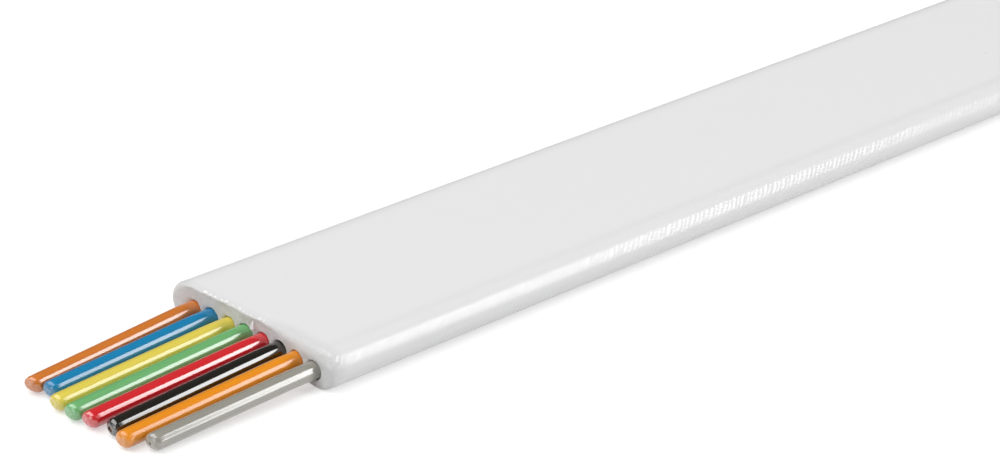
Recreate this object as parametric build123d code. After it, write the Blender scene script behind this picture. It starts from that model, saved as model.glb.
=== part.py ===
from build123d import *
from math import radians, tan
import os

# Flat eight-wire modular cable: a straight length with a stripped end.
# Millimetres. X runs along the cable from the wire tips to the plain cut end, Y across it
# from the grey wire to the brown one, Z up from the flat underside. The origin is under the middle.

# Wires
WIRE_PITCH = 1.0
INSULATION_DIAMETER = 0.74
STRAND_ACROSS_FLATS = 0.12
STRAND_CLEARANCE = 0.006
BORE_CLEARANCE = 0.008

# Jacket walls round the row of wires, and its length
UPPER_WALL = 0.60
LOWER_WALL = 0.29
BROWN_SIDE_WALL = 0.95
GREY_SIDE_WALL = 0.76
CHANNEL_CLEARANCE = 0.01
JACKET_LENGTH = 58.0
STRIP_CUT_ANGLE = 3.0

# Stripped end: how far the longest wire reaches, where the wires bend down and how they end
STRIP_LENGTH = 8.27
SAG_START = 0.15
SAG_BEND = 0.8
TIP_FLOOR_GAP = 0.012
TIP_RIM_RADIUS = 0.25
PINCH_DEPTH = 0.22
PINCH_EYE_DIAMETER = 0.26
CUT_OVERRUN = 2.0

# The row in order from the brown edge, with each wire's reach as a share of the stripped length,
# its tip's sway to the grey side and its rise in the jacket as shares of the pitch, and how the
# cutter left its tip: the depth pinched shut and the eye still open as shares of the largest
WIRE_COLOURS = ("brown", "blue", "yellow", "green", "red", "black", "orange", "grey")
REACH_SHARES = (0.99, 0.954, 1.0, 0.998, 0.978, 0.941, 0.967, 0.881)
SWAY_SHARES = (0.55, 0.30, 0.29, 0.26, 0.15, 0.19, 0.14, 0.0)
RISE_SHARES = (0.0, 0.02, 0.0, 0.06, 0.06, 0.09, 0.06, 0.03)
PINCH_SHARES = (1.0, 1.0, 1.0, 1.0, 1.0, 0.25, 1.0, 0.8)
EYE_SHARES = (0.35, 0.3, 0.35, 0.3, 0.35, 1.0, 0.35, 0.5)
STRANDS_ROUND_CENTRE = 6
STRAND_SIDES = 6
BORE_SIDES = 12

# Worked-out sizes
wire_count = len(WIRE_COLOURS)
row_width = (wire_count - 1) * WIRE_PITCH
jacket_width = row_width + INSULATION_DIAMETER + BROWN_SIDE_WALL + GREY_SIDE_WALL
jacket_thickness = UPPER_WALL + INSULATION_DIAMETER + LOWER_WALL
row_height = LOWER_WALL + INSULATION_DIAMETER / 2
brown_wire_y = jacket_width / 2 - BROWN_SIDE_WALL - INSULATION_DIAMETER / 2
strand_turn = 180 / STRAND_SIDES
strand_ring_radius = STRAND_ACROSS_FLATS + STRAND_CLEARANCE
half_strand = STRAND_ACROSS_FLATS / 2
bunch_corner = Vector(strand_ring_radius + half_strand, half_strand * tan(radians(strand_turn)))
bore_radius = bunch_corner.length + BORE_CLEARANCE
tip_height = INSULATION_DIAMETER / 2 + TIP_FLOOR_GAP
far_end_x = (JACKET_LENGTH + STRIP_LENGTH) / 2
strip_x = far_end_x - JACKET_LENGTH


def wire_y(index):
    """Place of a wire across the cable."""
    return brown_wire_y - index * WIRE_PITCH


def wire_z(index):
    """Height of a wire in the jacket."""
    return row_height + RISE_SHARES[index] * WIRE_PITCH


def wire_path(index, short_of_tip):
    """A straight run in the jacket, a short bend outside it, then a straight run down to the tip."""
    y = wire_y(index)
    far_end = Vector(far_end_x, y, wire_z(index))
    cut_x = strip_x - y * tan(radians(STRIP_CUT_ANGLE))
    bend_start = Vector(cut_x - SAG_START, y, wire_z(index))
    corner = bend_start - Vector(SAG_BEND / 2, 0, 0)
    tip = Vector(
        strip_x - REACH_SHARES[index] * STRIP_LENGTH,
        y - SWAY_SHARES[index] * WIRE_PITCH,
        tip_height,
    )
    fall = (tip - corner).normalized()
    bend_end = corner + fall * SAG_BEND / 2
    return Wire([
        Line(far_end, bend_start).edge(),
        TangentArc(bend_start, bend_end, tangent=(-1, 0, 0)).edge(),
        Line(bend_end, tip - fall * short_of_tip).edge(),
    ])


def swept(sketch, index, short_of_tip):
    """A section carried along a wire from the far end towards the tip."""
    path = wire_path(index, short_of_tip)
    return sweep(Plane(origin=path @ 0, x_dir=(0, 1, 0), z_dir=(-1, 0, 0)) * sketch, path=path)


def jacket():
    """Flat-oval sheath with one round channel for each wire, cut a little askew at the stripped end."""
    section = SlotOverall(jacket_width, jacket_thickness)
    section = Pos(0, jacket_thickness / 2) * section
    channel = Circle(INSULATION_DIAMETER / 2 + CHANNEL_CLEARANCE)
    for index in range(wire_count):
        section -= Pos(wire_y(index), wire_z(index)) * channel
    far_plane = Plane(origin=(far_end_x, 0, 0), x_dir=(0, 1, 0), z_dir=(1, 0, 0))
    sheath = extrude(far_plane * section, amount=-(JACKET_LENGTH + CUT_OVERRUN))
    strip_plane = Plane(origin=(strip_x, 0, 0), z_dir=(1, 0, 0)).rotated((0, 0, STRIP_CUT_ANGLE))
    return split(sheath, bisect_by=strip_plane, keep=Keep.TOP)


def insulation(index):
    """Tube round the strands, its rounded tip pinched nearly shut by the cutter."""
    pinch = PINCH_SHARES[index] * PINCH_DEPTH
    tube = swept(Circle(INSULATION_DIAMETER / 2), index, 0)
    tube = fillet(tube.edges().sort_by(Axis.X)[0], TIP_RIM_RADIUS)
    tube -= swept(RegularPolygon(bore_radius, BORE_SIDES, major_radius=False), index, pinch)
    eye = Cylinder(EYE_SHARES[index] * PINCH_EYE_DIAMETER / 2, 4 * pinch)
    return tube - (wire_path(index, 0) ^ 1) * eye


def strands(index):
    """One six-sided strand with six more laid flat to flat round it, ending inside the pinched tip."""
    strand = RegularPolygon(half_strand, STRAND_SIDES, major_radius=False, rotation=strand_turn)
    section = strand + PolarLocations(strand_ring_radius, STRANDS_ROUND_CENTRE) * strand
    return swept(section, index, PINCH_SHARES[index] * PINCH_DEPTH)


os.makedirs("parts", exist_ok=True)
export_step(jacket(), "parts/outer_jacket.step")
for number, colour in enumerate(WIRE_COLOURS):
    export_step(insulation(number), f"parts/{colour}_insulation.step")
    export_step(strands(number), f"parts/{colour}_strands.step")
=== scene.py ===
from math import cos, hypot, pi, radians, sin, sqrt, tan
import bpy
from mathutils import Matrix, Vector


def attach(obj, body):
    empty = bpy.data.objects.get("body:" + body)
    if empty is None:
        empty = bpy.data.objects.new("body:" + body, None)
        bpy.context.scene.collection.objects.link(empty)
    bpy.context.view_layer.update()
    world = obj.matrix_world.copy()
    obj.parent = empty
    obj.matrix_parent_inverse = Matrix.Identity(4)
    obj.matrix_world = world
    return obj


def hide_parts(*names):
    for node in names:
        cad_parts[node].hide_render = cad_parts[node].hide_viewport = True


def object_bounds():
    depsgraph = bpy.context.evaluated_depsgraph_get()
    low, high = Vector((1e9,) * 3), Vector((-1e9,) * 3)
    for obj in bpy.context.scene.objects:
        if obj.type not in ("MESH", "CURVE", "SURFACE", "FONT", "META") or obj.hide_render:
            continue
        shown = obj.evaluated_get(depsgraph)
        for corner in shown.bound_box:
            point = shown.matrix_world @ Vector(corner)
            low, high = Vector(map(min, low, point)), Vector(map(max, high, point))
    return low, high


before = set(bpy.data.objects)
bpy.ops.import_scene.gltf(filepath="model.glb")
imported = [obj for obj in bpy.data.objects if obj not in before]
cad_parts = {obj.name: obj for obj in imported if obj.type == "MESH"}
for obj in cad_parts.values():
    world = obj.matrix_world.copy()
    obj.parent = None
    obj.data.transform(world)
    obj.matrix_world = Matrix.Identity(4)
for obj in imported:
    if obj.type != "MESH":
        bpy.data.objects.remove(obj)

from types import SimpleNamespace

import bmesh
import bpy
from bpy.props import FloatProperty, FloatVectorProperty, PointerProperty
from mathutils import Euler, Matrix, Vector, noise

bl_info = {
    "name": "Flat modular cable",
    "version": (1, 0, 0),
    "blender": (4, 5, 0),
    "location": "3D View > Sidebar > Cable",
    "description": "A straight length of flat eight-wire cable with a stripped end",
    "category": "Add Mesh",
}

# Row frame: X along the cable to its plain cut end, Y across it to the brown wire, Z up. Metres.
MM = 0.001
CAD_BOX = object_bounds()

# The row in order from the brown edge, with each wire's reach as a share of the stripped length,
# its tip's sway to the grey side and its rise in the jacket as shares of the pitch
WIRE_COLOURS = ("brown", "blue", "yellow", "green", "red", "black", "orange", "grey")
REACH_SHARES = (0.99, 0.954, 1.0, 0.998, 0.978, 0.941, 0.967, 0.881)
SWAY_SHARES = (0.55, 0.30, 0.29, 0.26, 0.15, 0.19, 0.14, 0.0)
RISE_SHARES = (0.0, 0.02, 0.0, 0.06, 0.06, 0.09, 0.06, 0.03)

# Copper strands laid round the one in the middle of each wire
STRANDS_ROUND_CENTRE = 6

# How the cutter left each tip: the depth pinched shut and the eye still open as shares of the largest,
# and the end face's lean to the grey side and upwards in degrees
PINCH_SHARES = (1.0, 1.0, 1.0, 1.0, 1.0, 0.25, 1.0, 0.8)
EYE_SHARES = (0.12, 0.08, 0.08, 0.08, 0.1, 1.0, 0.08, 0.45)
TIP_LEANS = (16, 8, 5, 10, 8, -6, 6, 8)
TIP_TILTS = (14, 6, 8, 5, 9, 0, 4, 6)

# Each wire's surface: the roughness and strength of the haze under its glossy skin, how strongly the skin
# mirrors, and how much of the colour is held in the skin, where the plastic is clearest
HAZES = (0.4, 0.5, 0.48, 0.48, 0.15, 0.12, 0.45, 0.2)
HAZE_STRENGTHS = (0.35, 0.15, 1.0, 1.0, 0.5, 0.5, 0.35, 0.5)
SKIN_IORS = (1.8, 1.7, 1.6, 1.8, 1.92, 1.87, 1.62, 1.75)
SKIN_SHARES = (0.0, 0.0, 0.1, 0.1, 0.0, 0.0, 0.0, 0.0)

# Burrs along the stripped edge: place across the cable in millimetres and share of the largest
BURRS = (
    (2.73, 1.0), (2.43, 1.0), (2.17, 0.55), (1.8, 0.6), (1.55, 1.0), (1.12, 0.5), (0.74, 0.9), (0.5, 0.45),
    (0.06, 0.45), (-0.42, 0.75), (-0.64, 0.7),
)

# Stripped face, in millimetres: where a change across the cable starts, counted from its middle, and how wide
# it is; the hollow's middle and reach; how far down the overhang fades; and the broad and the fine waves to a
# millimetre, with the slice of the wave pattern that the fine ones take
ROLL_FADE = (-2.4, 2.2)
BROWN_CORNER = (3.5, 0.8)
GREY_CORNER = (-4.4, 0.9)
BROWN_BULGE = (3.2, 1.2)
HOLLOW = (-0.6, 3.0)
OVERHANG_FADE = 0.35
BROAD_WAVES = 0.9
FINE_WAVES = 3.0
FINE_WAVE_SLICE = 3.0

# The brown bulge's height as a share of the hollow's depth, and each wave's share of the cut's roughness
BULGE_SHARE = 1.5
BROAD_WAVE_SHARE = 0.7
FINE_WAVE_SHARE = 0.3

# Rounding of the stripped edge: at the brown and grey corners as shares of the near edge's, on the underside
# as a share of the full one; the share of the thickness over which it grows to that; and the sine of its
# first slope at the grey corner
BROWN_ROLL_SHARE = 0.7
GREY_ROLL_SHARE = 1.25
UNDER_ROLL_SHARE = 0.25
ROLL_HEIGHT_SHARE = 0.9
GREY_FIRST_SINE = 0.45

# Torn web, in millimetres: its corners out from the face, across the cable and up, as upper left and right,
# then lower left and right; and how deep it is rooted
WEB_CORNERS = ((0.03, -0.09, 1.5), (0.03, -0.14, 1.5), (0.16, -0.05, 1.13), (0.13, -0.22, 1.15))
WEB_ROOT = 0.2

# Cut tip of a wire, in millimetres: the dish of its face, the rim and throat of its eye, and how far back it
# leans; then shares: the eye's width at its rim, how much wider and flatter the tip is, and how much of the
# leaning part shows the cut
TIP_DISH = 0.006
EYE_RIM = 0.012
EYE_THROAT = 0.03
TIP_REACH = 0.5
EYE_RIM_SHARE = 1.1
TIP_WIDENING_SHARE = 0.03
TIP_FLATTENING_SHARE = 0.05
TIP_CUT_SHARE = 0.55

# Studio: each lamp's direction from the stripped face, its upright, its distance, width and height in metres
# and its brightness; then the light of the walls, the paper's grey and glow, and its gap in millimetres
SOFTBOXES = {
    "key_softbox": ((0.58, -0.71, 0.39), (0, 0.42, 0.91), 0.45, 0.14, 0.45, 6.9),
    "fill_softbox": ((-0.35, 0.25, 0.9), (0, 1, 0), 0.6, 0.5, 0.9, 2.75),
    "low_softbox": ((-0.95, -0.2, 0.25), (0, 0, 1), 0.5, 0.3, 0.25, 2.3),
}
WALL_LIGHT = 0.1
PAPER_GREY = 0.62
PAPER_GLOW = 0.5
PAPER_GAP = 0.01


def linear(code):
    """Linear colour of an sRGB hex value."""
    parts = [int(code[place:place + 2], 16) / 255 for place in (1, 3, 5)]
    return tuple(part / 12.92 if part <= 0.04045 else ((part + 0.055) / 1.055) ** 2.4 for part in parts)


def length(name, description, millimetres):
    """A length property whose default is given in millimetres."""
    return FloatProperty(
        name=name, description=description, default=millimetres * MM, min=0.0, precision=6,
        subtype="DISTANCE", unit="LENGTH",
    )


def colour(name, description, code):
    """A colour property whose default is given as sRGB hex."""
    return FloatVectorProperty(
        name=name, description=description, default=linear(code), min=0.0, max=1.0, size=3, subtype="COLOR",
    )


class CableSizes(bpy.types.PropertyGroup):
    """Lengths and angles of the cable"""

    wire_pitch: length("Wire pitch", "Distance between wire centres across the cable", 1.0)
    insulation_diameter: length("Insulation diameter", "Outside diameter of an insulated wire", 0.74)
    upper_wall: length("Upper wall", "Jacket above the wires", 0.60)
    lower_wall: length("Lower wall", "Jacket below the wires", 0.29)
    brown_side_wall: length("Brown side wall", "Jacket outside the brown wire", 0.95)
    grey_side_wall: length("Grey side wall", "Jacket outside the grey wire", 0.76)
    channel_clearance: length("Channel clearance", "Slip gap between a wire and its channel", 0.01)
    jacket_length: length("Jacket length", "Length of the jacket along its middle", 58.0)
    strip_length: length("Stripped length", "Reach of the longest wire out of the jacket", 8.27)
    strip_cut_angle: FloatProperty(
        name="Strip cut angle", description="How far the jacket's stripped end is from square",
        default=radians(3), subtype="ANGLE", unit="ROTATION",
    )
    sag_start: length("Sag start", "Distance from the jacket's cut to where a wire starts to bend down", 0.15)
    sag_bend: length("Sag bend", "Length over which a wire bends down to its straight run", 0.8)
    tip_floor_gap: length("Tip floor gap", "Space between the wire tips and the surface below", 0.012)
    rim_radius: length("Tip rim radius", "Rounding of the cut insulation's rim", 0.25)
    pinch_depth: length("Pinch depth", "Length of insulation that the cutter pressed over the strands", 0.22)
    eye_diameter: length("Eye diameter", "Opening left in the least pinched tip", 0.26)
    strand_diameter: length("Strand diameter", "Diameter of one copper strand", 0.12)
    strand_clearance: length("Strand clearance", "Gap between neighbouring strands", 0.006)
    bore_clearance: length("Bore clearance", "Gap between the strands and the insulation", 0.008)
    strand_lay: length("Strand lay", "Length of one twist of the outer strands", 11.0)
    cut_roughness: length("Cut roughness", "Unevenness of the jacket's stripped face", 0.07)
    far_edge_radius: length("Far edge radius", "Rounding of the stripped edge on the brown side", 0.035)
    near_edge_radius: length("Near edge radius", "Rounding of the stripped edge on the grey side", 0.36)
    plain_edge_radius: length("Plain edge radius", "Rounding of the plain cut end's edge", 0.03)
    cut_hollow: length("Cut hollow", "How far the stripped face bows in along the row", 0.08)
    cut_overhang: length("Cut overhang", "How far the stripped edge stands over the face below it", 0.02)
    mouth_depth: length("Mouth depth", "How far the stripped face sinks at the wires", 0.07)
    mouth_flare: length("Mouth flare", "Width of the sunk ring round each wire", 0.06)
    burr_size: length("Burr size", "Largest burr left on the stripped edge", 0.18)


class CableColours(bpy.types.PropertyGroup):
    """Colours of the jacket, the wires and the strands"""

    jacket: colour("Jacket", "White PVC of the jacket", "#E3E3E3")
    brown: colour("Brown", "Insulation of the brown wire", "#DC7C24")
    blue: colour("Blue", "Insulation of the blue wire", "#0084B8")
    yellow: colour("Yellow", "Insulation of the yellow wire", "#EDD850")
    green: colour("Green", "Insulation of the green wire", "#6EBC72")
    red: colour("Red", "Insulation of the red wire", "#E2202A")
    black: colour("Black", "Insulation of the black wire", "#120E02")
    orange: colour("Orange", "Insulation of the orange wire", "#F29400")
    grey: colour("Grey", "Insulation of the grey wire", "#9E9C92")
    copper: colour("Copper", "Bare copper of the strands", "#C98A63")


class CableStage(bpy.types.PropertyGroup):
    """Camera and floor"""

    azimuth: FloatProperty(
        name="Azimuth", description="Camera's turn about the upright axis", default=radians(-41.64),
        subtype="ANGLE", unit="ROTATION",
    )
    elevation: FloatProperty(
        name="Elevation", description="Camera's angle above the floor", default=radians(26.1),
        subtype="ANGLE", unit="ROTATION",
    )
    roll: FloatProperty(
        name="Roll", description="Camera's turn about its own axis", default=radians(0.14),
        subtype="ANGLE", unit="ROTATION",
    )
    distance: length("Distance", "From the camera to the point it looks at", 111.6)
    aim_right: length("Aim right", "Aim point to the right of the stripped face, as the camera sees it", 9.59)
    aim_up: length("Aim up", "Aim point above the stripped face, as the camera sees it", 4.49)
    lens: FloatProperty(name="Lens", description="Focal length in millimetres", default=104.3, unit="CAMERA")
    floor_width: length("Floor width", "Side of the square floor", 1600.0)


def plan():
    """Sizes and places worked out from the cable's properties."""
    sizes = bpy.context.scene.cable_sizes
    here = SimpleNamespace(sizes=sizes)
    count = len(WIRE_COLOURS)
    here.wire_radius = sizes.insulation_diameter / 2
    row = (count - 1) * sizes.wire_pitch + 2 * here.wire_radius
    here.width = row + sizes.brown_side_wall + sizes.grey_side_wall
    here.thickness = sizes.upper_wall + 2 * here.wire_radius + sizes.lower_wall
    here.row_height = sizes.lower_wall + here.wire_radius
    here.wire_z = [here.row_height + share * sizes.wire_pitch for share in RISE_SHARES]
    brown_y = here.width / 2 - sizes.brown_side_wall - here.wire_radius
    here.wire_y = [brown_y - index * sizes.wire_pitch for index in range(count)]
    here.far_x = (sizes.jacket_length + sizes.strip_length) / 2
    here.strip_x = here.far_x - sizes.jacket_length
    here.skew = tan(sizes.strip_cut_angle)
    here.sag_x = [here.strip_x - y * here.skew - sizes.sag_start for y in here.wire_y]
    here.tip_z = here.wire_radius + sizes.tip_floor_gap
    here.strand_ring = sizes.strand_diameter + sizes.strand_clearance
    here.bore_radius = here.strand_ring + sizes.strand_diameter / 2 + sizes.bore_clearance
    return here


def add_node(tree, kind, inputs=None, **settings):
    """Adds a node with its settings, then fills or links its inputs, named or numbered."""
    node = tree.nodes.new(kind)
    for name, value in settings.items():
        setattr(node, name, value)
    for name, value in (inputs or {}).items():
        if isinstance(value, bpy.types.NodeSocket):
            tree.links.new(value, node.inputs[name])
        else:
            node.inputs[name].default_value = value
    return node


# Materials

def new_material(name):
    """An empty node material."""
    material = bpy.data.materials.new(name)
    material.use_nodes = True
    material.node_tree.nodes.clear()
    return material, material.node_tree


def finish_material(tree, shader):
    """Links a shader to the surface."""
    add_node(tree, "ShaderNodeOutputMaterial", {"Surface": shader.outputs[0]})


def per_mm(value):
    """Pattern repeats in a metre, from repeats in a millimetre."""
    return value / MM


def extruded_white_pvc(here, colours):
    """Extruded soft PVC: nearly matt flat faces, glossy faintly rippled edges, dull and grainy cut faces, and
    torn bits whitened partly by stretching and partly as a painted highlight.
    """
    polish_reach = 0.5 * MM
    ripple_height = 0.0098 * MM
    grain_height = 0.06 * MM
    glow_depth = 0.25 * MM
    material, tree = new_material("extruded_white_pvc")
    place = add_node(tree, "ShaderNodeTexCoord").outputs["Object"]
    cut = add_node(tree, "ShaderNodeAttribute", attribute_name="cut").outputs["Fac"]
    torn = add_node(tree, "ShaderNodeAttribute", attribute_name="torn").outputs["Fac"]
    # Guide-roller ripples on the rounded edges: one in about 0.27 mm along the cable, aslant and uneven
    aslant = add_node(tree, "ShaderNodeVectorMath", {0: place, 1: (1, -0.4, -0.7)}, operation="DOT_PRODUCT")
    apart = add_node(tree, "ShaderNodeSeparateXYZ", {0: place}).outputs
    across = add_node(
        tree, "ShaderNodeCombineXYZ", {"X": aslant.outputs["Value"], "Y": apart["Y"], "Z": apart["Z"]}
    )
    stretched = add_node(
        tree, "ShaderNodeMapping",
        {"Vector": across.outputs[0], "Scale": (per_mm(1.16), per_mm(0.5), per_mm(0.5))},
    )
    ripples = add_node(
        tree, "ShaderNodeTexWave",
        {"Vector": stretched.outputs[0], "Scale": 1.0, "Distortion": 2.9, "Detail": 1.0, "Detail Scale": 2.0},
    ).outputs["Fac"]
    flat = (here.width - here.thickness) / 2
    sideways = add_node(tree, "ShaderNodeMath", {0: apart["Y"]}, operation="ABSOLUTE")
    rounded = add_node(
        tree, "ShaderNodeMapRange",
        {"Value": sideways.outputs[0], "From Min": flat - polish_reach, "From Max": flat + polish_reach},
        interpolation_type="SMOOTHSTEP",
    )
    edge_ripples = add_node(tree, "ShaderNodeMath", {0: ripples, 1: rounded.outputs[0]}, operation="MULTIPLY")
    # Pigment specks: one to each 3 mm cell of the plastic, about 0.1 mm across, so few reach the surface
    cells = add_node(tree, "ShaderNodeTexVoronoi", {"Vector": place, "Scale": per_mm(1 / 3)})
    speck = add_node(
        tree, "ShaderNodeMapRange",
        {
            "Value": cells.outputs["Distance"], "From Min": 0.012, "From Max": 0.02,
            "To Min": 0.28, "To Max": 0.0,
        },
    )
    grain = add_node(
        tree, "ShaderNodeTexNoise", {"Vector": place, "Scale": per_mm(9), "Detail": 4.0, "Roughness": 0.65}
    )
    base = tuple(colours.jacket)
    dull = tuple(0.92 * part for part in base)
    speckled = add_node(
        tree, "ShaderNodeMix", {0: speck.outputs[0], 6: (*base, 1), 7: (0.22, 0.21, 0.2, 1)}, data_type="RGBA"
    )
    faced = add_node(
        tree, "ShaderNodeMix", {0: cut, 6: speckled.outputs[2], 7: (*dull, 1)}, data_type="RGBA"
    )
    # Torn plastic whitens where it was stretched, and is lifted further as a painted highlight for the light
    # that the burrs and the web catch
    shade = add_node(
        tree, "ShaderNodeMix", {0: torn, 6: faced.outputs[2], 7: (0.95, 0.95, 0.95, 1)}, data_type="RGBA"
    )
    # The rollers polish the rounded edges, and the flat faces stay nearly matt
    gloss = add_node(
        tree, "ShaderNodeMapRange", {"Value": rounded.outputs[0], "To Min": 0.95, "To Max": 0.3}
    )
    polish = add_node(
        tree, "ShaderNodeMapRange", {"Value": rounded.outputs[0], "To Min": 0.06, "To Max": 0.6}
    )
    roughness = add_node(tree, "ShaderNodeMix", {0: cut, 2: gloss.outputs[0], 3: 0.7})
    ripple_bump = add_node(
        tree, "ShaderNodeBump",
        {"Height": edge_ripples.outputs[0], "Strength": 1.0, "Distance": ripple_height},
    )
    grain_depth = add_node(tree, "ShaderNodeMath", {0: grain.outputs[0], 1: cut}, operation="MULTIPLY")
    bump = add_node(
        tree, "ShaderNodeBump", {"Height": grain_depth.outputs[0], "Strength": 0.5, "Distance": grain_height}
    )
    shader = add_node(
        tree, "ShaderNodeBsdfPrincipled",
        {
            "Base Color": shade.outputs[2], "Roughness": roughness.outputs[0], "IOR": 1.53,
            "Specular IOR Level": 0.25, "Subsurface Weight": 0.12, "Subsurface Radius": (1.0, 1.0, 1.0),
            "Subsurface Scale": glow_depth, "Normal": bump.outputs[0], "Coat Weight": polish.outputs[0],
            "Coat Roughness": 0.07, "Coat IOR": 1.53, "Coat Normal": ripple_bump.outputs[0],
        },
    )
    finish_material(tree, shader)
    return material


def extruded_polypropylene(index, tint):
    """Extruded polypropylene: bright gloss, deeper colour at the rim where clear, duller where cut."""
    mark_height = 0.004 * MM
    torn_height = 0.08 * MM
    glow_depth = 0.15 * MM
    material, tree = new_material(f"extruded_polypropylene_{WIRE_COLOURS[index]}")
    haze, skin = HAZES[index], SKIN_SHARES[index]
    place = add_node(tree, "ShaderNodeTexCoord").outputs["Object"]
    tip = add_node(tree, "ShaderNodeAttribute", attribute_name="tip").outputs["Fac"]
    # Draw marks: about eight to a millimetre round the wire, drawn out along it
    stretched = add_node(
        tree, "ShaderNodeMapping", {"Vector": place, "Scale": (per_mm(0.15), per_mm(8), per_mm(8))}
    )
    marks = add_node(
        tree, "ShaderNodeTexNoise", {"Vector": stretched.outputs[0], "Scale": 1.0, "Detail": 2.0}
    )
    core = tuple(part ** (1 - skin) for part in tint)
    stain = tuple(part ** skin for part in tint)
    pale = tuple(part + 0.2 * (0.9 - part) for part in core)
    deep = tuple(0.9 * part for part in core)
    streaks = add_node(
        tree, "ShaderNodeMix", {0: marks.outputs[0], 6: (*deep, 1), 7: (*core, 1)}, data_type="RGBA"
    )
    # Torn grain of the cut, about eight to a millimetre
    grain = add_node(tree, "ShaderNodeTexNoise", {"Vector": place, "Scale": per_mm(8), "Detail": 3.0})
    torn = add_node(
        tree, "ShaderNodeMapRange", {"Value": grain.outputs[0], "From Min": 0.4, "From Max": 0.65}
    )
    mottled = add_node(
        tree, "ShaderNodeMix", {0: torn.outputs[0], 6: (*deep, 1), 7: (*pale, 1)}, data_type="RGBA"
    )
    shade = add_node(
        tree, "ShaderNodeMix", {0: tip, 6: streaks.outputs[2], 7: mottled.outputs[2]}, data_type="RGBA"
    )
    gloss = add_node(
        tree, "ShaderNodeMapRange", {"Value": marks.outputs[0], "To Min": haze - 0.03, "To Max": haze + 0.03}
    )
    roughness = add_node(tree, "ShaderNodeMix", {0: tip, 2: gloss.outputs[0], 3: 0.5})
    drawn = add_node(
        tree, "ShaderNodeBump", {"Height": marks.outputs[0], "Strength": 0.01, "Distance": mark_height}
    )
    torn_depth = add_node(tree, "ShaderNodeMath", {0: grain.outputs[0], 1: tip}, operation="MULTIPLY")
    bump = add_node(
        tree, "ShaderNodeBump",
        {
            "Height": torn_depth.outputs[0], "Strength": 0.3, "Distance": torn_height,
            "Normal": drawn.outputs[0],
        },
    )
    shader = add_node(
        tree, "ShaderNodeBsdfPrincipled",
        {
            "Base Color": shade.outputs[2], "Roughness": roughness.outputs[0], "IOR": 1.49,
            "Specular IOR Level": HAZE_STRENGTHS[index], "Subsurface Weight": 0.15,
            "Subsurface Radius": (1.0, 1.0, 1.0), "Subsurface Scale": glow_depth, "Coat Weight": 1.0,
            "Coat Roughness": 0.14, "Coat IOR": SKIN_IORS[index], "Coat Tint": (*stain, 1),
            "Normal": bump.outputs[0], "Coat Normal": bump.outputs[0],
        },
    )
    finish_material(tree, shader)
    return material


def drawn_copper(colours):
    """Drawn bare copper: a warm metal with fine marks from the die and slight tarnish."""
    material, tree = new_material("drawn_copper")
    place = add_node(tree, "ShaderNodeTexCoord").outputs["Object"]
    # Tarnish patches about 0.1 mm across
    patches = add_node(tree, "ShaderNodeTexNoise", {"Vector": place, "Scale": per_mm(10), "Detail": 3.0})
    bright = tuple(colours.copper)
    dark = tuple(0.6 * part for part in bright)
    shade = add_node(
        tree, "ShaderNodeMix", {0: patches.outputs[0], 6: (*dark, 1), 7: (*bright, 1)}, data_type="RGBA"
    )
    roughness = add_node(
        tree, "ShaderNodeMapRange", {"Value": patches.outputs[0], "To Min": 0.42, "To Max": 0.26}
    )
    shader = add_node(
        tree, "ShaderNodeBsdfPrincipled",
        {"Base Color": shade.outputs[2], "Metallic": 1.0, "Roughness": roughness.outputs[0]},
    )
    finish_material(tree, shader)
    return material


# Routes and the node trees that follow them

def route_curve(name, points):
    """A smooth open NURBS line through the route's control points."""
    data = bpy.data.curves.new(name, "CURVE")
    data.dimensions = "3D"
    data.resolution_u = 48
    spline = data.splines.new("NURBS")
    spline.points.add(len(points) - 1)
    for point, place in zip(spline.points, points):
        point.co = (*place, 1)
    spline.order_u = 3
    spline.use_endpoint_u = True
    route = bpy.data.objects.new(name, data)
    bpy.context.scene.collection.objects.link(route)
    bpy.context.view_layer.update()
    return route


def route_points(route):
    """The route's line as points."""
    line = bpy.data.meshes.new_from_object(route)
    points = [vertex.co.copy() for vertex in line.vertices]
    bpy.data.meshes.remove(line)
    return points


def route_length(route):
    """Length of the route's line."""
    points = route_points(route)
    return sum((after - before).length for before, after in zip(points, points[1:]))


def wire_route(here, index):
    """A wire's route from the plain cut end: level in the jacket, a short bend, then straight to the tip."""
    y = here.wire_y[index]
    bend = here.sizes.sag_bend
    far_end = Vector((here.far_x, y, here.wire_z[index]))
    corner = Vector((here.sag_x[index] - bend / 2, y, here.wire_z[index]))
    tip = Vector((
        here.strip_x - REACH_SHARES[index] * here.sizes.strip_length,
        y - SWAY_SHARES[index] * here.sizes.wire_pitch,
        here.tip_z,
    ))
    before = corner + Vector((bend, 0, 0))
    after = corner + bend * (tip - corner).normalized()
    return route_curve(f"{WIRE_COLOURS[index]}_route", [far_end, before, corner, after, tip])


def jacket_route(here):
    """The jacket's route from the plain cut end to just past its stripped lip."""
    height = here.thickness / 2
    lip = here.width / 2 * here.skew
    end_x = here.strip_x - lip - here.sizes.cut_roughness - here.sizes.near_edge_radius
    middle_x = (here.far_x + end_x) / 2
    return route_curve("jacket_route", [Vector((x, 0, height)) for x in (here.far_x, middle_x, end_x)])


def new_tree(name, inputs, output):
    """A geometry node tree with its named inputs and its output."""
    tree = bpy.data.node_groups.new(name, "GeometryNodeTree")
    for label, kind in inputs:
        tree.interface.new_socket(label, in_out="INPUT", socket_type=f"NodeSocket{kind}")
    tree.interface.new_socket(output, in_out="OUTPUT", socket_type="NodeSocketGeometry")
    return tree, add_node(tree, "NodeGroupInput").outputs


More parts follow.
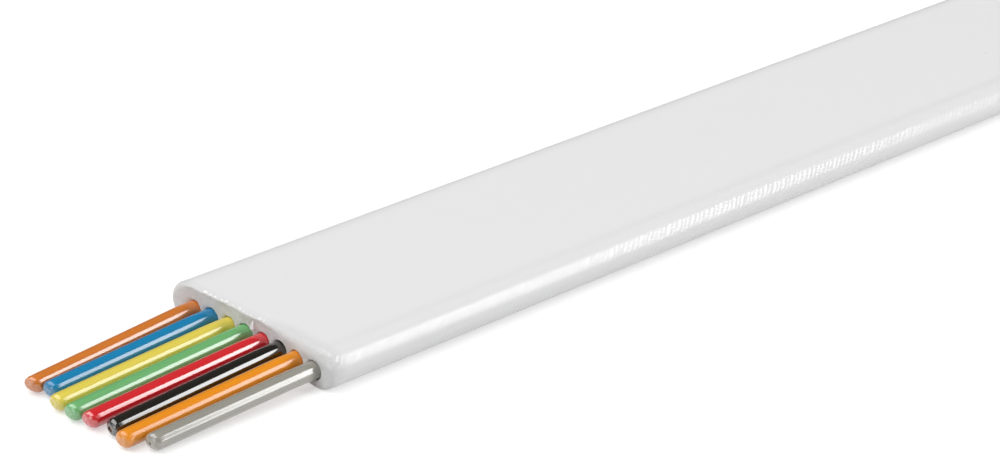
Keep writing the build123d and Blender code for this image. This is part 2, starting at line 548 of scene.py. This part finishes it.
def follow_route_tree():
    """Carries a straight piece, modelled along X from its far end, onto a route."""
    inputs = (("Straight piece", "Geometry"), ("Route", "Object"), ("Finish", "Material"))
    tree, given = new_tree("follow_route", inputs, "Piece")
    route = add_node(tree, "GeometryNodeObjectInfo", {"Object": given["Route"]})
    straight = add_node(
        tree, "ShaderNodeSeparateXYZ", {0: add_node(tree, "GeometryNodeInputPosition").outputs[0]}
    ).outputs
    sample = add_node(
        tree, "GeometryNodeSampleCurve", {"Curves": route.outputs["Geometry"], "Length": straight["X"]},
        mode="LENGTH", use_all_curves=True,
    ).outputs
    across = add_node(
        tree, "ShaderNodeVectorMath", {0: sample["Tangent"], 1: (0, 0, 1)}, operation="CROSS_PRODUCT"
    )
    side = add_node(tree, "ShaderNodeVectorMath", {0: across.outputs[0]}, operation="NORMALIZE").outputs[0]
    rise = add_node(tree, "ShaderNodeVectorMath", {0: side, 1: sample["Tangent"]}, operation="CROSS_PRODUCT")
    sideways = add_node(tree, "ShaderNodeVectorMath", {0: side, "Scale": straight["Y"]}, operation="SCALE")
    upwards = add_node(
        tree, "ShaderNodeVectorMath", {0: rise.outputs[0], "Scale": straight["Z"]}, operation="SCALE"
    )
    offset = add_node(
        tree, "ShaderNodeVectorMath", {0: sideways.outputs[0], 1: upwards.outputs[0]}, operation="ADD"
    )
    place = add_node(
        tree, "ShaderNodeVectorMath", {0: sample["Position"], 1: offset.outputs[0]}, operation="ADD"
    )
    bent = add_node(
        tree, "GeometryNodeSetPosition", {"Geometry": given["Straight piece"], "Position": place.outputs[0]}
    )
    whole = add_node(tree, "GeometryNodeRealizeInstances", {"Geometry": bent.outputs[0]})
    finished = add_node(
        tree, "GeometryNodeSetMaterial", {"Geometry": whole.outputs[0], "Material": given["Finish"]}
    )
    add_node(tree, "NodeGroupOutput", {"Piece": finished.outputs[0]})
    return tree


def strand_bunch_tree(follow_route):
    """One straight strand with others twisted round it, carried onto a route."""
    inputs = (
        ("Bunch length", "Float"), ("Strand diameter", "Float"), ("Ring radius", "Float"), ("Lay", "Float"),
        ("Outer strands", "Int"), ("Route", "Object"), ("Finish", "Material"),
    )
    tree, given = new_tree("strand_bunch", inputs, "Bunch")
    radius = add_node(tree, "ShaderNodeMath", {0: given["Strand diameter"], 1: 2.0}, operation="DIVIDE")
    round_section = add_node(
        tree, "GeometryNodeCurvePrimitiveCircle", {"Resolution": 12, "Radius": radius.outputs[0]}
    ).outputs[0]
    turns = add_node(tree, "ShaderNodeMath", {0: given["Bunch length"], 1: given["Lay"]}, operation="DIVIDE")
    helix = add_node(
        tree, "GeometryNodeCurveSpiral",
        {
            "Resolution": 16, "Rotations": turns.outputs[0], "Start Radius": given["Ring radius"],
            "End Radius": given["Ring radius"], "Height": given["Bunch length"],
        },
    )
    outer = add_node(
        tree, "GeometryNodeCurveToMesh",
        {"Curve": helix.outputs[0], "Profile Curve": round_section, "Fill Caps": True},
    )
    spots = add_node(tree, "GeometryNodePoints", {"Count": given["Outer strands"]})
    number = add_node(tree, "GeometryNodeInputIndex").outputs[0]
    share = add_node(tree, "ShaderNodeMath", {0: number, 1: given["Outer strands"]}, operation="DIVIDE")
    turn = add_node(tree, "ShaderNodeMath", {0: share.outputs[0], 1: 2 * pi}, operation="MULTIPLY")
    spin = add_node(tree, "ShaderNodeCombineXYZ", {"Z": turn.outputs[0]})
    ring = add_node(
        tree, "GeometryNodeInstanceOnPoints",
        {"Points": spots.outputs[0], "Instance": outer.outputs[0], "Rotation": spin.outputs[0]},
    )
    top = add_node(tree, "ShaderNodeCombineXYZ", {"Z": given["Bunch length"]})
    axis = add_node(tree, "GeometryNodeCurvePrimitiveLine", {"End": top.outputs[0]})
    fine_axis = add_node(tree, "GeometryNodeResampleCurve", {"Curve": axis.outputs[0], "Count": 64})
    centre = add_node(
        tree, "GeometryNodeCurveToMesh",
        {"Curve": fine_axis.outputs[0], "Profile Curve": round_section, "Fill Caps": True},
    )
    bunch = add_node(tree, "GeometryNodeJoinGeometry", {"Geometry": centre.outputs[0]})
    tree.links.new(ring.outputs[0], bunch.inputs["Geometry"])
    laid = add_node(
        tree, "GeometryNodeTransform", {"Geometry": bunch.outputs[0], "Rotation": Euler((0, pi / 2, 0))}
    )
    whole = add_node(tree, "GeometryNodeRealizeInstances", {"Geometry": laid.outputs[0]})
    carried = add_node(
        tree, "GeometryNodeGroup",
        {"Straight piece": whole.outputs[0], "Route": given["Route"], "Finish": given["Finish"]},
        node_tree=follow_route,
    )
    add_node(tree, "NodeGroupOutput", {"Bunch": carried.outputs[0]})
    return tree


def burrs_tree():
    """Small lumps on the vertices of a mesh, each as large as its own share of the largest."""
    inputs = (("Places", "Geometry"), ("Largest", "Float"), ("Seed", "Int"), ("Finish", "Material"))
    tree, given = new_tree("edge_burrs", inputs, "Burrs")
    share = add_node(tree, "GeometryNodeInputNamedAttribute", {"Name": "share"}, data_type="FLOAT")
    stretch = add_node(
        tree, "FunctionNodeRandomValue", {0: (0.9, 1.0, 0.6), 1: (1.2, 1.3, 0.8), "Seed": given["Seed"]},
        data_type="FLOAT_VECTOR",
    )
    size = add_node(
        tree, "ShaderNodeVectorMath", {0: stretch.outputs[0], "Scale": share.outputs[0]}, operation="SCALE"
    )
    turn = add_node(
        tree, "FunctionNodeRandomValue", {0: (-0.4, -0.4, -0.4), 1: (0.4, 0.4, 0.4), "Seed": given["Seed"]},
        data_type="FLOAT_VECTOR",
    )
    radius = add_node(tree, "ShaderNodeMath", {0: given["Largest"], 1: 2.0}, operation="DIVIDE")
    lump = add_node(tree, "GeometryNodeMeshIcoSphere", {"Radius": radius.outputs[0], "Subdivisions": 3})
    burrs = add_node(
        tree, "GeometryNodeInstanceOnPoints",
        {
            "Points": given["Places"], "Instance": lump.outputs[0], "Scale": size.outputs[0],
            "Rotation": turn.outputs[0],
        },
    )
    whole = add_node(tree, "GeometryNodeRealizeInstances", {"Geometry": burrs.outputs[0]})
    finished = add_node(
        tree, "GeometryNodeSetMaterial", {"Geometry": whole.outputs[0], "Material": given["Finish"]}
    )
    add_node(tree, "NodeGroupOutput", {"Burrs": finished.outputs[0]})
    return tree


def grown(name, mesh, tree, inputs):
    """An object with the plain mesh that a node tree makes of a mesh."""
    piece = bpy.data.objects.new(name, mesh)
    bpy.context.scene.collection.objects.link(piece)
    modifier = piece.modifiers.new(tree.name, "NODES")
    modifier.node_group = tree
    identifiers = {item.name: item.identifier for item in tree.interface.items_tree if item.in_out == "INPUT"}
    for key, value in inputs.items():
        modifier[identifiers[key]] = value
    graph = bpy.context.evaluated_depsgraph_get()
    result = bpy.data.meshes.new_from_object(
        piece.evaluated_get(graph), preserve_all_data_layers=True, depsgraph=graph
    )
    piece.modifiers.clear()
    piece.data = result
    result.name = name
    bpy.data.meshes.remove(mesh)
    return piece


def mark_whitening_and_painted_glint(piece, share):
    """Marks a whole piece as torn plastic, whitened partly by stretching and partly as a painted highlight.
    """
    marks = piece.data.attributes.new("torn", "FLOAT", "POINT")
    marks.data.foreach_set("value", [share] * len(marks.data))


def smooth(piece, sharp_angle):
    """Smooth shading that keeps edges sharper than an angle."""
    for face in piece.data.polygons:
        face.use_smooth = True
    piece.data.set_sharp_from_angle(angle=sharp_angle)


def hand_over(piece, slot, *nodes):
    """Gives a finished piece its body and hides the solids that it stands for."""
    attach(piece, "root")
    if nodes:
        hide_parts(*nodes)


# Insulation

def outwards(mesh):
    """A closed mesh with its faces turned outwards."""
    form = bmesh.new()
    form.from_mesh(mesh)
    bmesh.ops.recalc_face_normals(form, faces=form.faces)
    form.to_mesh(mesh)
    form.free()
    return mesh


def lathe(name, profile, sides):
    """A closed profile of distances along X and radii, turned about X."""
    turns = [(cos(2 * pi * step / sides), sin(2 * pi * step / sides)) for step in range(sides)]
    vertices = [(x, radius * c, radius * s) for x, radius in profile for c, s in turns]
    rings = len(profile)
    faces = []
    for ring in range(rings):
        start = ring * sides
        end = (ring + 1) % rings * sides
        for step in range(sides):
            beside = (step + 1) % sides
            faces.append((start + step, start + beside, end + beside, end + step))
    mesh = bpy.data.meshes.new(name)
    mesh.from_pydata(vertices, [], faces)
    return outwards(mesh)


def insulation_profile(here, index, whole):
    """Half section of an insulated wire: bore, outside, rounded rim, end face and pinched eye."""
    sizes = here.sizes
    outside = here.wire_radius
    eye = sizes.eye_diameter / 2 * EYE_SHARES[index]
    pinch = sizes.pinch_depth * PINCH_SHARES[index]
    rim = sizes.rim_radius
    bare = here.far_x - here.sag_x[index]
    runs = [bare * share for share in (0.02, 0.35, 0.7, 0.98)]
    sag_steps = 36
    sag = [bare + (whole - rim - bare) * step / sag_steps for step in range(sag_steps + 1)]
    arc_steps = 9
    turns = [pi / 2 * step / arc_steps for step in range(1, arc_steps + 1)]
    rim_arc = [(whole - rim + rim * sin(turn), outside - rim + rim * cos(turn)) for turn in turns]
    flat = outside - rim - eye
    face = [(whole - TIP_DISH * MM * share, eye + flat * (1 - share)) for share in (0.4, 0.8)]
    eye_rim = (whole - EYE_RIM * MM, eye * EYE_RIM_SHARE)
    hole = [eye_rim, (whole - EYE_THROAT * MM, eye), (whole - pinch, eye)]
    inside = [x for x in reversed(runs + sag) if x < whole - pinch]
    bore = [(whole - pinch, here.bore_radius)] + [(x, here.bore_radius) for x in inside]
    ends = [(0.0, here.bore_radius), (0.0, outside)]
    return ends + [(x, outside) for x in runs + sag] + rim_arc + face + hole + bore


def cut_tip(mesh, whole, lean, tilt):
    """Leans the end face, flattens the last bit as the cutter did and marks where the tip was cut."""
    reach = TIP_REACH * MM
    side_slope = tan(radians(lean))
    up_slope = tan(radians(tilt))
    marks = mesh.attributes.new("tip", "FLOAT", "POINT")
    for vertex, mark in zip(mesh.vertices, marks.data):
        near = max(0.0, 1 - (whole - vertex.co.x) / reach)
        weight = near * near * (3 - 2 * near)
        vertex.co.x += weight * (side_slope * vertex.co.y + up_slope * vertex.co.z)
        vertex.co.y *= 1 + TIP_WIDENING_SHARE * weight
        vertex.co.z *= 1 - TIP_FLATTENING_SHARE * weight
        mark.value = max(0.0, 1 - (whole - vertex.co.x) / (TIP_CUT_SHARE * reach)) ** 2


class CABLE_OT_insulation(bpy.types.Operator):
    """Makes the insulation of each wire, sagging from the jacket to its cut tip"""

    bl_idname = "cable.insulation"
    bl_label = "Wire insulation"

    def execute(self, context):
        here = plan()
        colours = context.scene.cable_colours
        tree = follow_route_tree()
        for index, name in enumerate(WIRE_COLOURS):
            route = wire_route(here, index)
            whole = route_length(route)
            mesh = lathe(f"{name}_straight", insulation_profile(here, index, whole), sides=48)
            cut_tip(mesh, whole, TIP_LEANS[index], TIP_TILTS[index])
            finish = extruded_polypropylene(index, tuple(getattr(colours, name)))
            piece = grown(f"{name}_wire_insulation", mesh, tree, {"Route": route, "Finish": finish})
            smooth(piece, sharp_angle=radians(50))
            hand_over(piece, f"insulation_{name}", f"{name}_insulation")
            bpy.data.objects.remove(route)
        return {"FINISHED"}


class CABLE_OT_strands(bpy.types.Operator):
    """Makes the bunch of copper strands inside each wire"""

    bl_idname = "cable.strands"
    bl_label = "Copper strands"

    def execute(self, context):
        here = plan()
        sizes = here.sizes
        finish = drawn_copper(context.scene.cable_colours)
        tree = strand_bunch_tree(follow_route_tree())
        for index, name in enumerate(WIRE_COLOURS):
            route = wire_route(here, index)
            inputs = {
                "Bunch length": route_length(route) - sizes.pinch_depth * PINCH_SHARES[index],
                "Strand diameter": sizes.strand_diameter, "Ring radius": here.strand_ring,
                "Lay": sizes.strand_lay, "Outer strands": STRANDS_ROUND_CENTRE,
                "Route": route, "Finish": finish,
            }
            start = bpy.data.meshes.new(f"{name}_strands_start")
            piece = grown(f"{name}_copper_strands", start, tree, inputs)
            smooth(piece, sharp_angle=radians(50))
            hand_over(piece, "copper_strand", f"{name}_strands")
            bpy.data.objects.remove(route)
        return {"FINISHED"}


# Jacket

def between(start, end, share):
    """A value at a share of the way from one to another."""
    return start + (end - start) * share


def cell_border(here, index):
    """Border of one wire's share of the jacket's section: up its brown side, over, down and back under."""
    half = here.sizes.wire_pitch / 2
    radius = here.thickness / 2
    flat = here.width / 2 - radius
    low_shares = (0.0, 0.006, 0.018, 0.036, 0.06, 0.09, 0.13, 0.18, 0.24, 0.31, 0.38, 0.45)
    high_shares = tuple(1 - share for share in reversed(low_shares))
    levels = [here.thickness * share for share in low_shares + high_shares]
    arc_steps = 40
    arc = [pi * step / arc_steps - pi / 2 for step in range(arc_steps + 1)]
    y = here.wire_y[index]
    brown_side = [(y + half, z) for z in levels]
    grey_side = [(y - half, z) for z in reversed(levels)]
    if index == 0:
        brown_side = [(flat + radius * cos(turn), radius + radius * sin(turn)) for turn in arc]
    if index == len(WIRE_COLOURS) - 1:
        grey_side = [(-flat - radius * cos(turn), radius + radius * sin(turn)) for turn in reversed(arc)]
    flat_steps = 12
    shares = [step / flat_steps for step in range(1, flat_steps)]
    over = [(between(brown_side[-1][0], grey_side[0][0], share), here.thickness) for share in shares]
    under = [(between(grey_side[-1][0], brown_side[0][0], share), 0.0) for share in shares]
    return brown_side + over + grey_side + under


def section_cells(here):
    """The jacket's section as rings of faces from channels to cell borders: points, faces and rim edges."""
    grid = 1e-4 * MM
    channel = here.wire_radius + here.sizes.channel_clearance
    shares = (0.0, 0.12, 0.3, 0.48, 0.6, 0.7, 0.79, 0.86, 0.92, 0.96, 0.985, 1.0)
    points, faces, known = [], [], {}

    def point(place):
        key = (round(place.x / grid), round(place.y / grid))
        if key not in known:
            known[key] = len(points)
            points.append(tuple(place))
        return known[key]

    for index, y in enumerate(here.wire_y):
        centre = Vector((y, here.wire_z[index]))
        rays = []
        for corner in cell_border(here, index):
            outer = Vector(corner)
            inner = centre + channel * (outer - centre).normalized()
            rays.append([point(inner.lerp(outer, share)) for share in shares])
        for ray, after in zip(rays, rays[1:] + rays[:1]):
            for step in range(len(shares) - 1):
                faces.append((ray[step], ray[step + 1], after[step + 1], after[step]))
    used = {}
    for face in faces:
        for start, end in zip(face, face[1:] + face[:1]):
            used.setdefault(frozenset((start, end)), []).append((start, end))
    rims = [pairs[0] for pairs in used.values() if len(pairs) == 1]
    return points, faces, rims


def blend(start, end, share):
    """Smooth step from one value to another."""
    share = min(1.0, max(0.0, share))
    return between(start, end, share * share * (3 - 2 * share))


def edge_drop(here, y, z, radius, first_sine=0.0):
    """How far a rounded edge of the jacket's section falls back from its end face, from a first slope on."""
    half = here.thickness / 2
    beyond = max(0.0, abs(y) - (here.width / 2 - half))
    inside = half - hypot(beyond, z - half)
    reach = min(1.0, max(0.0, 1 - inside / radius))
    sine = between(first_sine, 1.0, reach)
    return radius * (sqrt(1 - first_sine * first_sine) - sqrt(max(0.0, 1 - sine ** 2)))


def done(y, change):
    """Share of a change across the cable that is done at a place."""
    start, width = change
    return (y - start * MM) / (width * MM)


def strip_radius(here, y, z):
    """Rounding of the stripped edge: rolled over the grey half and the brown corner, crisp elsewhere."""
    sizes = here.sizes
    radius = blend(sizes.near_edge_radius, sizes.far_edge_radius, done(y, ROLL_FADE))
    radius = blend(radius, BROWN_ROLL_SHARE * sizes.near_edge_radius, done(y, BROWN_CORNER))
    radius = blend(GREY_ROLL_SHARE * sizes.near_edge_radius, radius, done(y, GREY_CORNER))
    return blend(UNDER_ROLL_SHARE * radius, radius, z / (ROLL_HEIGHT_SHARE * here.thickness))


def strip_offset(here, y, z):
    """How far the stripped face stands out past a square cut, with its skew, hollow, waves and edge."""
    sizes = here.sizes
    hollow = sizes.cut_hollow * max(0.0, 1 - done(y, HOLLOW) ** 2)
    hollow -= blend(0.0, BULGE_SHARE * sizes.cut_hollow, done(y, BROWN_BULGE))
    set_back = blend(0.0, sizes.cut_overhang, (here.thickness - z) / (OVERHANG_FADE * MM))
    broad = noise.noise(Vector((y, z, 0)) * per_mm(BROAD_WAVES))
    fine = noise.noise(Vector((y, z, FINE_WAVE_SLICE * MM)) * per_mm(FINE_WAVES))
    wave = broad * BROAD_WAVE_SHARE + fine * FINE_WAVE_SHARE
    first_sine = blend(GREY_FIRST_SINE, 0.0, done(y, GREY_CORNER))
    drop = edge_drop(here, y, z, strip_radius(here, y, z), first_sine)
    return y * here.skew - hollow - set_back + wave * sizes.cut_roughness - drop


def mouth_depth(here, y, z):
    """How far the stripped face sinks round the nearest wire."""
    sizes = here.sizes
    nearest = min(hypot(y - wire_y, z - wire_z) for wire_y, wire_z in zip(here.wire_y, here.wire_z))
    gap = nearest - here.wire_radius - sizes.channel_clearance
    return sizes.mouth_depth * max(0.0, 1 - gap / sizes.mouth_flare) ** 2


def jacket_mesh(here):
    """The straight jacket along X from its far end, with both end faces and every channel."""
    points, cells, rims = section_cells(here)
    whole = here.sizes.jacket_length
    middle = here.thickness / 2
    vertices = [(edge_drop(here, y, z, here.sizes.plain_edge_radius), y, z - middle) for y, z in points]
    strip_start = len(vertices)
    ends = [whole + strip_offset(here, y, z) - mouth_depth(here, y, z) for y, z in points]
    vertices += [(end, y, z - middle) for end, (y, z) in zip(ends, points)]
    faces = [tuple(cell) for cell in cells]
    faces += [tuple(strip_start + place for place in reversed(cell)) for cell in cells]
    station_shares = (0.002, 0.1, 0.3, 0.5, 0.7, 0.9, 0.97, 0.985, 0.992)
    rim_places = sorted({place for edge in rims for place in edge})
    levels = [{place: place for place in rim_places}]
    for share in station_shares:
        level = {}
        for place in rim_places:
            y, z = points[place]
            level[place] = len(vertices)
            vertices.append((share * ends[place], y, z - middle))
        levels.append(level)
    levels.append({place: strip_start + place for place in rim_places})
    for below, above in zip(levels, levels[1:]):
        for start, end in rims:
            faces.append((below[end], below[start], above[start], above[end]))
    mesh = bpy.data.meshes.new("jacket_straight")
    mesh.from_pydata(vertices, [], faces)
    cut = mesh.attributes.new("cut", "FLOAT", "POINT")
    for place in range(2 * len(points)):
        cut.data[place].value = 1.0
    return outwards(mesh)


def burr_places(here):
    """The places of the burrs along the upper stripped edge, as vertices that know their size."""
    height = here.thickness
    inwards = here.sizes.burr_size / 4
    across = [y * MM for y, share in BURRS]
    places = [Vector((here.strip_x - strip_offset(here, y, height) + inwards, y, height)) for y in across]
    mesh = bpy.data.meshes.new("burr_places")
    mesh.from_pydata(places, [], [])
    shares = mesh.attributes.new("share", "FLOAT", "POINT")
    shares.data.foreach_set("value", [share for y, share in BURRS])
    return mesh


def torn_web(here):
    """The sliver of jacket left standing on the stripped face between the green and red wires."""
    face_x = here.strip_x - strip_offset(here, 0.0, here.row_height)
    upper_left, upper_right, lower_left, lower_right = (
        Vector((face_x - out * MM, y * MM, z * MM)) for out, y, z in WEB_CORNERS
    )
    root_x = face_x + WEB_ROOT * MM
    steps = 8
    vertices = []
    for step in range(steps + 1):
        share = step / steps
        left = upper_left.lerp(lower_left, share)
        right = upper_right.lerp(lower_right, share)
        vertices += [left, right, Vector((root_x, right.y, right.z)), Vector((root_x, left.y, left.z))]
    rings = [range(4 * step, 4 * step + 4) for step in range(steps + 1)]
    faces = []
    for below, above in zip(rings, rings[1:]):
        for side in range(4):
            beside = (side + 1) % 4
            faces.append((below[side], below[beside], above[beside], above[side]))
    faces += [tuple(reversed(rings[0])), tuple(rings[-1])]
    mesh = bpy.data.meshes.new("torn_web")
    mesh.from_pydata(vertices, [], faces)
    return outwards(mesh)


class CABLE_OT_jacket(bpy.types.Operator):
    """Makes the jacket round the wires, with its torn web and the burrs of its stripped edge"""

    bl_idname = "cable.jacket"
    bl_label = "Jacket"

    def execute(self, context):
        here = plan()
        sizes = here.sizes
        finish = extruded_white_pvc(here, context.scene.cable_colours)
        route = jacket_route(here)
        inputs = {"Route": route, "Finish": finish}
        jacket = grown("flat_jacket", jacket_mesh(here), follow_route_tree(), inputs)
        smooth(jacket, sharp_angle=radians(40))
        hand_over(jacket, "jacket_white_pvc", "outer_jacket")
        inputs = {"Largest": sizes.burr_size, "Seed": 4, "Finish": finish}
        burrs = grown("strip_burrs", burr_places(here), burrs_tree(), inputs)
        smooth(burrs, sharp_angle=pi)
        # The burrs are whitened in full: stress whitening plus a painted highlight for the glints they catch
        mark_whitening_and_painted_glint(burrs, 1.0)
        hand_over(burrs, "jacket_white_pvc")
        web = bpy.data.objects.new("torn_web", torn_web(here))
        web.data.materials.append(finish)
        context.scene.collection.objects.link(web)
        smooth(web, sharp_angle=radians(60))
        # The web is whitened by half: stress whitening plus a painted highlight for the light it catches
        mark_whitening_and_painted_glint(web, 0.5)
        hand_over(web, "jacket_white_pvc")
        path = list(reversed(route_points(route)))
        bpy.data.objects.remove(route)
        return {"FINISHED"}


# Stage

def white_floor():
    """Matt white paper: seen white by the camera and in reflections, with the object's shadow kept."""
    material, tree = new_material("matt_white_paper")
    rays = add_node(tree, "ShaderNodeLightPath").outputs
    seen = rays["Is Camera Ray"]
    for kind in ("Is Glossy Ray", "Is Transmission Ray"):
        seen = add_node(tree, "ShaderNodeMath", {0: seen, 1: rays[kind]}, operation="MAXIMUM").outputs[0]
    strength = add_node(tree, "ShaderNodeMath", {0: seen, 1: PAPER_GLOW}, operation="MULTIPLY")
    paper = add_node(tree, "ShaderNodeBsdfDiffuse", {"Color": (PAPER_GREY, PAPER_GREY, PAPER_GREY, 1)})
    glow = add_node(tree, "ShaderNodeEmission", {"Color": (1, 1, 1, 1), "Strength": strength.outputs[0]})
    shader = add_node(tree, "ShaderNodeAddShader", {0: paper.outputs[0], 1: glow.outputs[0]})
    finish_material(tree, shader)
    return material


def studio_world():
    """Even low light from the studio's walls."""
    world = bpy.data.worlds.new("studio")
    bpy.context.scene.world = world
    world.use_nodes = True
    tree = world.node_tree
    tree.nodes.clear()
    light = add_node(tree, "ShaderNodeBackground", {"Color": (1, 1, 1, 1), "Strength": WALL_LIGHT})
    add_node(tree, "ShaderNodeOutputWorld", {"Surface": light.outputs[0]})


def softbox(name, target, towards, upright, distance, width, height, radiance):
    """A rectangular lamp that faces a target, with its height near an upright, of a given brightness."""
    data = bpy.data.lights.new(name, "AREA")
    data.shape = "RECTANGLE"
    data.size = width
    data.size_y = height
    data.energy = radiance * pi * width * height
    lamp = bpy.data.objects.new(name, data)
    towards = Vector(towards).normalized()
    across = Vector(upright).cross(towards).normalized()
    lamp.location = target + distance * towards
    lamp.rotation_euler = Matrix((across, towards.cross(across), towards)).transposed().to_euler()
    bpy.context.scene.collection.objects.link(lamp)


def photo_camera(stage, origin):
    """The camera at the photograph's viewing angle, aimed beside the stripped face."""
    data = bpy.data.cameras.new("photo_camera")
    data.sensor_fit = "HORIZONTAL"
    data.sensor_width = 36.0
    data.lens = stage.lens
    data.clip_start = 1 * MM
    data.clip_end = 10.0
    camera = bpy.data.objects.new("photo_camera", data)
    turn = Matrix.Rotation(stage.azimuth, 3, "Z") @ Matrix.Rotation(pi / 2 - stage.elevation, 3, "X")
    turn = turn @ Matrix.Rotation(stage.roll, 3, "Z")
    right, up, back = turn.col
    aim = origin + stage.aim_right * right + stage.aim_up * up
    camera.matrix_world = Matrix.Translation(aim + stage.distance * back) @ turn.to_4x4()
    bpy.context.scene.collection.objects.link(camera)
    bpy.context.scene.camera = camera


class CABLE_OT_stage(bpy.types.Operator):
    """Sets the white floor, the studio light and the camera"""

    bl_idname = "cable.stage"
    bl_label = "Stage"

    def execute(self, context):
        here = plan()
        stage = context.scene.cable_stage
        half = stage.floor_width / 2
        level = CAD_BOX[0][2] - PAPER_GAP * MM
        corners = [(-half, -half, level), (half, -half, level), (half, half, level), (-half, half, level)]
        mesh = bpy.data.meshes.new("paper_floor")
        mesh.from_pydata(corners, [], [(0, 1, 2, 3)])
        mesh.materials.append(white_floor())
        floor = bpy.data.objects.new("paper_floor", mesh)
        context.scene.collection.objects.link(floor)
        studio_world()
        target = Vector((here.strip_x, 0, here.row_height))
        for name, setting in SOFTBOXES.items():
            softbox(name, target, *setting)
        photo_camera(stage, Vector((here.strip_x, 0, 0)))
        context.scene.view_settings.view_transform = "Standard"
        return {"FINISHED"}


class CABLE_PT_panel(bpy.types.Panel):
    """Sizes, colours and pieces of the cable"""

    bl_idname = "CABLE_PT_panel"
    bl_label = "Flat modular cable"
    bl_space_type = "VIEW_3D"
    bl_region_type = "UI"
    bl_category = "Cable"

    def draw(self, context):
        for group in (context.scene.cable_sizes, context.scene.cable_colours, context.scene.cable_stage):
            box = self.layout.box()
            for name in group.bl_rna.properties.keys():
                if name not in {"rna_type", "name"}:
                    box.prop(group, name)
        for operator in (CABLE_OT_strands, CABLE_OT_insulation, CABLE_OT_jacket, CABLE_OT_stage):
            self.layout.operator(operator.bl_idname)


CLASSES = (
    CableSizes, CableColours, CableStage, CABLE_OT_strands, CABLE_OT_insulation, CABLE_OT_jacket,
    CABLE_OT_stage, CABLE_PT_panel,
)


def register():
    """Registers the classes and hangs the cable's properties on the scene."""
    for item in CLASSES:
        bpy.utils.register_class(item)
    bpy.types.Scene.cable_sizes = PointerProperty(type=CableSizes)
    bpy.types.Scene.cable_colours = PointerProperty(type=CableColours)
    bpy.types.Scene.cable_stage = PointerProperty(type=CableStage)


def unregister():
    """Undoes register in reverse order."""
    del bpy.types.Scene.cable_stage
    del bpy.types.Scene.cable_colours
    del bpy.types.Scene.cable_sizes
    for item in reversed(CLASSES):
        bpy.utils.unregister_class(item)


def main():
    """Makes the pieces and the stage."""
    register()
    bpy.ops.cable.strands()
    bpy.ops.cable.insulation()
    bpy.ops.cable.jacket()
    bpy.ops.cable.stage()


if __name__ == "__main__":
    main()
